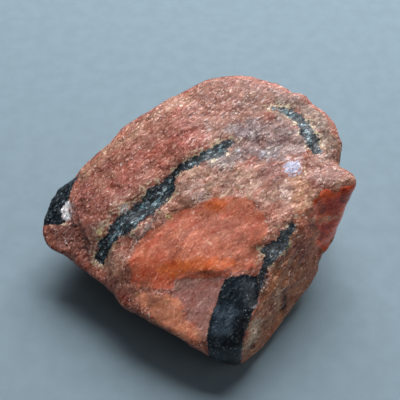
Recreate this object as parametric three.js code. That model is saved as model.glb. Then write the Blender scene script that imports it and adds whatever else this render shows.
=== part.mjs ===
// A hand-sized piece of rough triplite: one solid stone, broken on every side.
//
// The stone is a body of flat fracture faces with smaller blocks of the same rock grown on to it: a glassy
// corner, a tip and a lump. Each block is the convex hull of its corners. The surface is found along rays
// from inside the stone, so the result is one closed body whatever the blocks do. Ledges, the grooves of the
// dark veins, cleavage steps and a rough grain are then raised on it or cut into it.
// Units are millimetres, +Z up, with the origin at the middle of the underside.

import * as THREE from "three";
import { ConvexHull } from "three/addons/math/ConvexHull.js";
import { ImprovedNoise } from "three/addons/math/ImprovedNoise.js";
import { mergeVertices } from "three/addons/utils/BufferGeometryUtils.js";

// Driving dimensions
const MESH_DETAIL = 20; // 20 * (MESH_DETAIL + 1)^2 triangles
const HEART = new THREE.Vector3(0, 0, 13); // the point inside the stone that all rays leave from
const RAY_SPREAD = new THREE.Vector3(34, 30, 20); // ray directions follow an ellipsoid of these half-axes
const REACH = 60; // farther from the heart than any corner
const EDGE_SHARPNESS = 5; // per mm: higher values leave sharper edges between fracture faces
const SEAM_SHARPNESS = 3; // per mm: the same, for the inner corners where two blocks meet
const LEDGE_RUN = 0.9; // a ledge climbs over this far on either side of its path
const LEDGE_FADE = 0.12; // share of its path that a ledge fades out over at each end, unless it says more
const EDGE_WEAR = 0.4; // share of the way each point moves to the middle of its neighbours: blunts the edges

// Corners of the blocks, as [x, y, z] with +Y towards the back. z below 0 is cut off by the resting face.
const BLOCKS = {
  body: [
    // shoulders round the back of the top, from left to right
    [-28.5, 11.5, 19.5], [-21, 16.5, 24], [-17, 20.5, 26.5], [-10.5, 22.5, 29], [-1, 28.5, 31.5],
    [1.5, 30.5, 32.5], [6, 31.5, 33], [11.5, 31, 33], [16.5, 29.5, 33], [21, 27, 32.5], [25.5, 24, 32],
    [29, 21, 31], [30.5, 18.5, 30], [31.5, 13.5, 28.5], [31.5, 10, 27],
    // crown
    [0, 9, 28.5], [8, 14, 30], [19, 6, 29], [23.5, 1, 27.5], [22.8, -4.5, 25.2],
    // ridge that runs down the front
    [19.5, -8, 24.5], [13, -13.5, 20.5], [9.5, -26, 14.5], [7.5, -30, 10],
    // left end and the overhanging front-left rim
    [-22, -2, 18.5], [-20.5, -8.5, 14.3], [-31.5, 9.5, 18], [-33, 6.5, 16], [-33, 0, 13], [-11, -19, 13.2],
    [-6.5, -23.5, 12.5], [1.5, -28.5, 11], [-24.4, -10.3, 12], [-28.3, -7.5, 11.7], [-32.3, -4.3, 11.5],
    [-10.5, -21.3, 11], [-7, -25, 11], [-3, -26.9, 10.5], [1.5, -29.3, 9], [3.5, -30, 7], [5, -29.5, 6],
    // undercut below the rim
    [-28, -2, 8.5], [-23.5, -6, 8], [-9.5, -18, 7], [-5, -22, 6.5], [0, -26, 5.5],
    // foot of the right-hand side
    [8, -28, 3.5], [12.6, -25, 3], [16.8, -20, 3], [22.7, -10.5, 4], [25.8, -7, 6], [28, -1, 11],
    // belly at the back
    [-30, 11, 10], [-19, 22, 13], [-2, 30, 15], [14, 32, 15], [27, 25, 14], [31, 14, 13],
    // resting face
    [-17, -1, -3], [-10, -11, -3], [4, -20, -3], [13, -16, -3], [20, -4, -3], [22, 10, -3], [12, 21, -3],
    [-6, 19, -3], [-16, 9, -3],
  ],
  glassyCorner: [
    [23.5, 1, 28], [32.8, 6.3, 28], [34, 4.8, 27.6], [33.7, 3, 26], [32.7, 1.2, 25.7], [28, 0, 27.1],
    [32.6, 2, 17], [30, -1, 11.5], [27, -5, 10], [23.5, -2.5, 20], [15, 6, 26], [20, 8, 20], [28, 8.5, 27],
    [22, 2, 8],
  ],
  leftTip: [
    [-37, -0.6, 13.5], [-36.8, -2.7, 12.2], [-35.7, 2, 14.5], [-34.4, 5, 15.5], [-33.4, 7.5, 16.5],
    [-31.8, 10, 17.8], [-29, 4, 17], [-33.2, -5.2, 12], [-30.5, -6.3, 12], [-32, -2, 9], [-26, -5, 13],
    [-26, 2, 8], [-30, 9, 11],
  ],
  frontLump: [
    [-17.3, -18, 10.7], [-13.5, -19.8, 11], [-17.5, -15.5, 6.5], [-14.5, -17, 6], [-19.5, -12, 11],
    [-9, -17, 10], [-12, -12, 5], [-12, -10, 14],
  ],
};

// Grooves in the top, where the soft dark veins have worn back. Paths are seen from above.
const GROOVES = {
  mainVein: {
    halfWidth: 1.7, depth: 0.7,
    path: [
      [8.5, 13], [5, 10], [-1.5, 7.5], [-6, 5], [-7, 3.5], [-12.5, 0.5], [-18, -2], [-21, -6], [-21.5, -10],
    ],
  },
  upperVein: { halfWidth: 1.3, depth: 0.6, path: [[16.5, 20.5], [22, 19.5], [25, 15.5], [27, 10.5]] },
  lowerVein: {
    halfWidth: 1.5, depth: 0.9,
    path: [[19.5, -7.5], [16, -11], [13.5, -12], [12, -16], [11.5, -20]],
  },
  tipSeam: { halfWidth: 1.2, depth: 0.6, path: [[-28, 10.5], [-28.5, 5.5], [-28.5, 0.5], [-27, -3.5]] },
  wallSlit: { halfWidth: 0.9, depth: 0.7, path: [[18, -16.5], [16.5, -19.5], [14, -23]] },
};

// Ledges in the top: the rock to the left of each path, seen from above, stands proud of the rock to its
// right and falls back to level with it over the length given as its reach. Each ledge also fades out over a
// share of its path at either end.
const LEDGES = {
  amberSheet: {
    rise: 0.9, reach: 10, fade: 0.46,
    path: [[-9, -17], [-5.5, -15.2], [0, -14], [6, -14.2], [12, -12]],
  },
  crownSlab: { rise: 0.8, reach: 6, path: [[24, 1], [21.5, 6.5], [24.5, 12], [22, 17], [15, 18], [9, 15.5]] },
  backFlake: { rise: 0.7, reach: 5, path: [[-19, 4], [-12, 9.5], [-4, 13.5], [3, 19]] },
  endFlake: { rise: 0.6, reach: 4, path: [[-24, 0.5], [-20, 7.5], [-15, 12.5]] },
  darkFacet: { rise: 0.6, reach: 6, path: [[8.5, -16], [5, -18], [2.5, -22.5], [1.5, -28.5]] },
};

// Cleavage: parallel planes that the rock parts along, which leave steps where a face crosses them.
const CLEAVAGE = [
  { normal: [-0.57, 0.8, 0.2], spacing: 4.4, step: 0.5 },
  { normal: [-0.1, -0.36, 0.93], spacing: 3.6, step: 0.7 },
];

const DROP = 0.22; // share of the spacing over which the ramp between two planes drops back

// Waves of rough rock, from broad swells to the grain.
const SWELLS = [
  { length: 15, height: 0.8 },
  { length: 6.5, height: 0.45 },
  { length: 3.2, height: 0.25 },
];

const noise = new ImprovedNoise();

function hullPlanes(corners) {
  const hull = new ConvexHull().setFromPoints(corners.map((c) => new THREE.Vector3(...c)));
  return hull.faces.map((face) => ({ normal: face.normal.clone(), offset: face.constant }));
}

// log-sum-exp: a maximum whose corners are rounded.
function softMax(values, sharpness) {
  const top = Math.max(...values);
  const sum = values.reduce((total, v) => total + Math.exp(sharpness * (v - top)), 0);
  return top + Math.log(sum) / sharpness;
}

const blocks = Object.values(BLOCKS).map(hullPlanes);

// Distance outside the stone, negative inside, before its surface is roughened.
function smoothDistance(p) {
  const apart = blocks.map((planes) => {
    const distances = planes.map((face) => face.normal.dot(p) - face.offset);
    return softMax(distances, EDGE_SHARPNESS);
  });
  return -softMax(apart.map((d) => -d), SEAM_SHARPNESS);
}

// Where the ray from the heart along the unit vector leaves the stone.
function surfacePoint(direction) {
  const point = new THREE.Vector3();
  const distanceAt = (reach) => smoothDistance(point.copy(HEART).addScaledVector(direction, reach));
  let outside = REACH;
  while (distanceAt(outside - 1) > 0) outside -= 1;
  let inside = outside - 1;
  for (let i = 0; i < 14; i++) {
    const middle = (inside + outside) / 2;
    if (distanceAt(middle) > 0) outside = middle;
    else inside = middle;
  }
  point.copy(HEART).addScaledVector(direction, inside);
  if (point.z < 0) point.copy(HEART).addScaledVector(direction, HEART.z / -direction.z).setZ(0);
  return point;
}

// How far the point is from a path in plan, which side of it it is on (+1 left), and how far along (0 to 1).
function nearestOnPath(path, x, y) {
  const lengths = path.slice(1).map(([bx, by], i) => Math.hypot(bx - path[i][0], by - path[i][1]));
  const total = lengths.reduce((sum, length) => sum + length, 0);
  let nearest = { distance: Infinity, side: 1, along: 0 };
  let before = 0;
  for (let i = 0; i < lengths.length; i++) {
    const [ax, ay] = path[i];
    const [dx, dy] = [path[i + 1][0] - ax, path[i + 1][1] - ay];
    const t = THREE.MathUtils.clamp(((x - ax) * dx + (y - ay) * dy) / lengths[i] ** 2, 0, 1);
    const distance = Math.hypot(x - ax - t * dx, y - ay - t * dy);
    if (distance < nearest.distance) {
      const side = Math.sign(dx * (y - ay) - dy * (x - ax)) || 1;
      nearest = { distance, side, along: (before + t * lengths[i]) / total };
    }
    before += lengths[i];
  }
  return nearest;
}

function grooveDepth({ path, halfWidth, depth }, p) {
  const { distance } = nearestOnPath(path, p.x, p.y);
  return depth * (1 - THREE.MathUtils.smoothstep(distance, halfWidth * 0.4, halfWidth * 1.6));
}

function ledgeHeight({ path, rise, reach, fade = LEDGE_FADE }, p) {
  const { distance, side, along } = nearestOnPath(path, p.x, p.y);
  const signed = distance * side;
  const share = THREE.MathUtils.smoothstep(Math.min(along, 1 - along), 0, fade);
  const climbed = THREE.MathUtils.smoothstep(signed, -LEDGE_RUN, LEDGE_RUN);
  return rise * share * climbed * Math.exp(-Math.max(signed, 0) / reach);
}

// A ramp that climbs slowly and drops back at every cleavage plane, with the planes bent a little by noise.
function cleavageHeight({ normal, spacing, step }, p) {
  const bend = 0.45 * noise.noise(p.x / 11, p.y / 11, p.z / 11 + 5);
  const phase = (normal[0] * p.x + normal[1] * p.y + normal[2] * p.z) / spacing + bend;
  const patch = THREE.MathUtils.smoothstep(noise.noise(p.x / 9 + 3, p.y / 9, p.z / 9), -0.1, 0.35);
  const climbed = phase - Math.floor(phase);
  const ramp = Math.min(climbed / (1 - DROP), (1 - climbed) / DROP);
  return patch * step * (ramp - 0.5);
}

// Height of the rough surface above the smooth one at a point of it.
function relief(p, isTop) {
  let height = 0;
  for (const [i, { length, height: swell }] of SWELLS.entries()) {
    height += swell * noise.noise(p.x / length + 7 * i, p.y / length, p.z / length);
  }
  for (const planes of CLEAVAGE) height += cleavageHeight(planes, p);
  for (const groove of Object.values(GROOVES)) height -= isTop * grooveDepth(groove, p);
  for (const ledge of Object.values(LEDGES)) height += isTop * ledgeHeight(ledge, p);
  return height;
}

// Moves each point part of the way to the middle of its neighbours; the resting face stays flat.
function blunt(geometry) {
  const position = geometry.attributes.position;
  const sums = Array.from({ length: position.count }, () => ({ middle: new THREE.Vector3(), count: 0 }));
  const index = geometry.index.array;
  const corner = new THREE.Vector3();
  for (let i = 0; i < index.length; i += 3) {
    for (const [from, to] of [[0, 1], [1, 2], [2, 0]]) {
      sums[index[i + from]].middle.add(corner.fromBufferAttribute(position, index[i + to]));
      sums[index[i + from]].count += 1;
    }
  }
  for (let i = 0; i < position.count; i++) {
    corner.fromBufferAttribute(position, i);
    const resting = corner.z === 0;
    corner.lerp(sums[i].middle.divideScalar(sums[i].count), EDGE_WEAR);
    position.setXYZ(i, corner.x, corner.y, resting ? 0 : corner.z);
  }
}

// Raises the relief along each point's ray from the heart, so that the surface never folds over itself.
function roughen(geometry) {
  geometry.computeVertexNormals();
  const { position, normal } = geometry.attributes;
  const [point, outward, ray] = [new THREE.Vector3(), new THREE.Vector3(), new THREE.Vector3()];
  for (let i = 0; i < position.count; i++) {
    point.fromBufferAttribute(position, i);
    if (point.z === 0) continue;
    outward.fromBufferAttribute(normal, i);
    ray.subVectors(point, HEART).normalize();
    const nearRest = THREE.MathUtils.smoothstep(point.z, 0, 3);
    const isTop = THREE.MathUtils.smoothstep(outward.z, -0.1, 0.3);
    point.addScaledVector(ray, (nearRest * relief(point, isTop)) / Math.max(ray.dot(outward), 0.6));
    position.setXYZ(i, point.x, point.y, Math.max(point.z, 0));
  }
}

function stoneGeometry() {
  const ball = new THREE.IcosahedronGeometry(1, MESH_DETAIL);
  ball.deleteAttribute("uv");
  ball.deleteAttribute("normal");
  const geometry = mergeVertices(ball, 1e-5);
  const position = geometry.attributes.position;
  for (let i = 0; i < position.count; i++) {
    const direction = new THREE.Vector3().fromBufferAttribute(position, i).multiply(RAY_SPREAD).normalize();
    position.setXYZ(i, ...surfacePoint(direction).toArray());
  }
  blunt(geometry);
  roughen(geometry);
  geometry.computeBoundingBox();
  const middle = geometry.boundingBox.getCenter(new THREE.Vector3());
  geometry.translate(-middle.x, -middle.y, 0);
  geometry.computeVertexNormals();
  return geometry;
}

const stone = new THREE.Mesh(
  stoneGeometry(),
  new THREE.MeshStandardMaterial({ color: 0xb9705f, roughness: 0.6, metalness: 0 }),
);
stone.name = "stone";

const triplite = new THREE.Group();
triplite.add(stone);
export default triplite;
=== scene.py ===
"""The looks of a hand-sized piece of rough triplite: fracture, veins, colours, floor, light, camera.

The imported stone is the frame. A finer copy stands for it here: meshed evenly, ironed on its smooth
faces, broken into small cleavage faces, and given the marks (distances to veins and patches) that
its one material reads. Places on the stone are in millimetres from the foot of its heart, the
point of the underside that the heart of its CAD source stands over.
"""

import math
from collections import namedtuple

import bmesh
import bpy
import numpy as np
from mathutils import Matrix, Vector

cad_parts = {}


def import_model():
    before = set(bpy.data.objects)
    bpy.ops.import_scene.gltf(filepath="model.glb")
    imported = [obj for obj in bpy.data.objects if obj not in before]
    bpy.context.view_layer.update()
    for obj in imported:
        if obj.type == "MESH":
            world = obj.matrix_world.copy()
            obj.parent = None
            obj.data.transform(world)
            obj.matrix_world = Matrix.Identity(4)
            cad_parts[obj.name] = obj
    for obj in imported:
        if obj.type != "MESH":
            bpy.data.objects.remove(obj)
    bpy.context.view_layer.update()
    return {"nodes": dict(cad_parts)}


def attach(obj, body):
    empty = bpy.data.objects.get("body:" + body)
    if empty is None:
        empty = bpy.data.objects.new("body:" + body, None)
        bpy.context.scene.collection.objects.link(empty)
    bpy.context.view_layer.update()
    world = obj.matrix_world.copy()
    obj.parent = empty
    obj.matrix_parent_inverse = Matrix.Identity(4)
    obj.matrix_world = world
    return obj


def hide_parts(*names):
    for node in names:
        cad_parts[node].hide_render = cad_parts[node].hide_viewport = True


MM = 0.001
HEART_FOOT = np.array([0.74, -1.04, 0.0])  # mm, in the stone's frame
GRAIN_TURN = math.radians(35.5)  # veins and streaks run this way in plan, turned from +X

# The fine mesh
VOXEL = 0.355  # mm between its points
WELD = 1e-7  # m between points of the CAD mesh that become one
EASE_STEPS = 4  # rounds of smoothing that take out the steps between voxels
IRON_STEPS = 80  # rounds of smoothing on the smooth faces
IRON_EDGE = (0.5, 2.5)  # mm inside a smooth face, where ironing starts and is at its full
REST_EDGE = (0.1, 2.0)  # mm above the floor, where the fracture starts and is at its full

# The fracture: layers of small flat faces
Chips = namedtuple("Chips", "size tilt step seed")  # size and step in mm
CHIP_LAYERS = (
    Chips(3.2, 0.035, 0.05, 21),
    Chips(1.2, 0.05, 0.025, 31),
    Chips(0.6, 0.06, 0.02, 41),
)
CHIP_STRETCH = 1.7  # how much longer chips are along the grain than across it
SMOOTH_LOSS = 0.7  # share of the chips' height that smooth faces lose
SMOOTH_EDGE = (0.0, 0.8)  # mm inside a smooth face, where that loss starts and is at its full
VEIN_DEPTH = 0.1  # mm that dark veins lie below the rest
VEIN_STEP = (-0.4, 0.4)  # mm inside a vein's edge, where the step down starts and ends

# The marks
FLATTEN = 0.35  # share of a height difference that counts in a distance along the surface
FAR = 10.0  # mm, the distance given to places that a mark can't reach
LONG_WAVE = 2.2  # mm, the waves in the edges of marks
SHORT_WAVE = 0.9  # mm, waves half as strong
VEIN_RAGGED = 0.18  # mm that a wave of 1 moves the edges of dark veins, and so on for the rest
SHADE_RAGGED = 0.4
WALL_RAGGED = 0.4
SPOT_RAGGED = 0.25
SEAM_RAGGED = 0.125

# How faces lie, as the parts of their normals between which one kind shades into the next
UNDERSIDE = (-0.8, -0.5)  # z, up to overhangs
OVERHANG = (-0.25, 0.0)  # z, up to faces that look up
LEVEL = (0.7, 0.9)  # z, from sloping faces
TURNED_AWAY = (0.0, -0.4)  # x - y, from faces that look to the front right
REARWARD = (0.1, 0.6)  # y, from faces that look sideways

# The material's patterns
GRAIN = 0.36  # mm across a crystal grain
SPECK = 0.25  # mm across the finest specks
SHARD = 2.2  # mm across the shards in the glassy corner
PATCH_EDGE = 1.2  # mm between the furthest out and in that fine noise moves a patch's edge
VEIN_EDGE = 3.2  # the same for dark veins
SEAM_EDGE = 0.25  # share of the noise on a patch's edge that a seam's has
SEAM_SCATTER = 0.3  # mm over which grains mingle at a seam's edge
SPOT_SCATTER = 1.2  # mm over which grains mingle at a spot's edge
SPOT_SHARE = 0.9  # how much of a spot's colour shows
FRINGE_SCATTER = 2.0  # mm over which pale grains and the rest mingle beside veins
WALL_SHARE = 0.8  # how much of the right-hand wall's own colour shows
JET_SHARE = 0.9  # how much of the black patches' own colour shows
CORE_GAIN = 0.08  # how much more of a vein's core is streaked, as a part of the noise
LOWER_VEIN_STREAKS = 0.15  # share of the streaks that the lower vein keeps
GRAIN_SQUEEZE = 0.45  # patterns are squeezed to this before they are laid along the grain
FIBRE_SQUEEZE = 0.4  # and fibres to this once more
STREAK_CONTRAST = 0.7
FIBRE_CONTRAST = 0.9
GRIT_CONTRAST = 1.0
GRAIN_CONTRAST = 0.60
SPECK_CONTRAST = 0.50
THREAD_CONTRAST = 0.4
SMOOTH_STRENGTH = 0.7  # how strong the mottling is on smooth faces
# Flecks made paler by LUSTRE are partly the grains' own colour and partly painted glints.
LUSTRE = 0.31  # how much paler to the eye a full fleck is, out of 1 from black to white
DARKEST = 0.06  # to the eye, as dark as the mottling makes anything
EYE = 2.2  # the gamma between a linear colour and how pale it looks

# How things fade in, in mm outside their edges: where they start and are at their full
FRINGE_FADE = (0.9, 0.2)
FRINGE_BY_JET = (1.5, 2.5)  # the fringe, beside black patches
SEAM_FADE = (0.15, -0.1)
SPOT_FADE = (0.2, -0.3)
JET_FADE = (0.2, -0.4)
SHADE_FADE = (0.6, -0.8)
CORE_FADE = (-0.3, -1.4)
LOWER_VEIN_FADE = (-0.2, 0.8)  # the streaks, beside the lower vein
VEIN_CALM = (0.6, 1.4)  # the full raggedness of dark edges, beside black patches
REAR_FADE = (5.0, 1.0)

# The widths in mm of edges that fade evenly on both sides
WALL_WIDTH = 1.0
VEIN_WIDTH = 0.3
SMOOTH_WIDTH = 0.6
GLOSS_WIDTH = 0.4

# The material's gloss
ROCK_ROUGHNESS = 0.62
GLINT_ROUGHNESS = 0.30  # the shiniest quarter of the grains reaches down to this
GLASS_ROUGHNESS = 0.16
FACET_ROUGHNESS = 0.28
ROCK_TILT = 0.13  # a grain's normal, of length 1, is moved by up to half of this along each axis
SMOOTH_TILT = 0.07

# Camera
AIM = (0.0, 6.0, 17.0)  # mm from the foot of the heart
CAMERA_ELEVATION = math.radians(50)
CAMERA_DISTANCE = 192  # mm
SENSOR = 36.0
LENS = 77.2

# Colours, as sRGB out of 255
RUST = (156, 94, 77)
FRINGE = (204, 184, 152)
WALL_COLOUR = (164, 103, 71)
INK = (14, 24, 32)
SLATE = (78, 110, 120)
JET = (22, 30, 38)
# Painted glints, in the veins and on the rest of the stone
PAINTED_VEIN_GLINT = (196, 204, 208)
PAINTED_GLINT = (250, 232, 222)
FLOOR = (128, 145, 155)

# Floor and room
FLOOR_SIZE = 6  # m
ROOM_COLOUR = (0.86, 0.93, 1.0, 1.0)
ROOM_STRENGTH = 0.09

# Stains, in the order they are laid on: what they multiply the colour by, their size in mm, and
# the noise from which they start and are at their full. The back gets its own before the rest.
Stain = namedtuple("Stain", "tint size low high")
REAR_STAINS = (
    Stain((0.62, 0.56, 0.58), 9.0, 0.48, 0.60),
    Stain((1.25, 1.40, 1.30), 7.0, 0.50, 0.62),
)
STAINS = (
    Stain((0.80, 0.78, 0.82), 3.2, 0.50, 0.64),
    Stain((1.02, 0.80, 0.76), 2.4, 0.50, 0.66),
    Stain((0.92, 1.03, 0.94), 1.9, 0.52, 0.66),
    Stain((1.16, 1.26, 1.28), 1.4, 0.50, 0.68),
)

# Dark veins, as outlines in plan.
VEINS = {
    "main_vein": [
        (7.8, 13.2), (6, 13.2), (4.8, 12.6), (3.2, 11.6), (1.8, 10.6), (0, 9.6), (-2.6, 8.6),
        (-4.4, 8.2), (-5.8, 7), (-7.2, 6), (-8.8, 5), (-11.4, 3.8), (-13.4, 1.6), (-15.8, 0.2),
        (-18, -0.8), (-19.4, -2.4), (-20.4, -4.2), (-21.8, -5), (-22.8, -7), (-22.2, -8.6),
        (-21, -9), (-20.2, -7.8), (-18.4, -6.4), (-17.2, -5.4), (-14.6, -4.6), (-12.4, -2.8),
        (-10.6, -1.8), (-8.8, -0.4), (-6.2, 1.6), (-5.4, 3), (-5.2, 5.6), (-3.4, 6.6), (0, 7.2),
        (2.4, 8.4), (5, 9.2), (6, 10.6), (7, 11.8),
    ],
    "upper_vein": [
        (15.4, 21), (18.8, 21), (20.8, 20.6), (22.4, 19.8), (24.2, 17), (25.6, 14), (26.4, 10.2),
        (25, 9.4), (23.2, 11.2), (22.2, 13.6), (21.8, 15.6), (21, 17.4), (18.8, 19.2), (17, 20),
    ],
    "lower_vein": [
        (19.4, -5.6), (18, -6.8), (16.6, -8.2), (14.6, -9.6), (12.6, -10.6), (13, -12),
        (12.4, -14), (12, -16), (12.2, -18.6), (12.8, -17.4), (13.6, -16), (14.4, -14.4),
        (15.8, -13), (17.8, -11), (18.8, -9), (19.8, -7.4),
    ],
}

# Veins of the back, as paths: each point is [x, y, z, half-width].
REAR_VEINS = {
    "back_vein": [
        (-21.2, 20.1, 14.6, 0.4), (-17, 23, 14.3, 1), (-12.4, 24.7, 13, 1.4),
        (-9.5, 25.7, 13, 0.9), (-4.6, 26.7, 11.2, 1.3), (-1.9, 27.1, 10.3, 0.8),
        (1.9, 26.5, 8.4, 0.5), (6, 26, 6.4, 0.2),
    ],
    "crown_vein": [
        (12.1, 31.6, 21, 0.3), (13.9, 31.6, 18.5, 0.8), (14.7, 31.4, 17.3, 1.1),
        (18.9, 29.8, 16, 0.9), (20.6, 28, 14.5, 0.3),
    ],
}

# Black patches, as outlines in plan, and the shades on the front one: colour and outline.
JET_PATCHES = {
    "front_facet": [
        (5.2, -16.4), (7.5, -15.8), (9.5, -15.4), (11.8, -15.6), (12.1, -18.3), (11.9, -20.8),
        (10.8, -23.3), (9.6, -25.9), (8.6, -28.1), (7.6, -33), (3, -33), (1.8, -29.5),
        (1.4, -27.1), (2, -23.8), (3.1, -20.7), (4.1, -18.5),
    ],
    "west_tip": [
        (-27.2, 11.8), (-28.4, 9.4), (-29.2, 5.6), (-30.8, 4.2), (-30.8, 2), (-29.8, 0.8),
        (-31.4, 0.6), (-36.5, 1.2), (-36.5, 6), (-33, 8.6), (-30, 11),
    ],
}
JET_SHADES = {
    # Painted reflection: the bluer shade is the sky's reflection on the smooth facet.
    "painted_sky_reflection": ((52, 64, 76), [
        (2.8, -21), (5, -20.6), (7.6, -22), (7.8, -23.2), (6.8, -24.4), (6, -26.4), (4, -26.8),
        (2.4, -26),
    ]),
    "black_shade": ((8, 11, 16), [
        (7.6, -23.6), (9.4, -23.4), (9.8, -22.4), (8.4, -21.2), (10.2, -19), (12, -18.4),
        (11.6, -21.4), (10.2, -24.5), (9.4, -26.6), (8.2, -29), (6, -33), (3, -33), (4.4, -29.6),
        (6, -28), (7.2, -26.2),
    ]),
}

# How a patch meets the rest, in mm: how far its edge fades, how far grains of both sides mingle
# over it, and how ragged it is.
Edge = namedtuple("Edge", "fade scatter ragged")
SOFT = Edge(2.2, 1.0, 1.2)
FLECKED = Edge(1.0, 2.0, 1.2)
CLEAN = Edge(0.5, 0.4, 0.4)
FINE = Edge(0.6, 1.2, 0.6)

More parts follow.
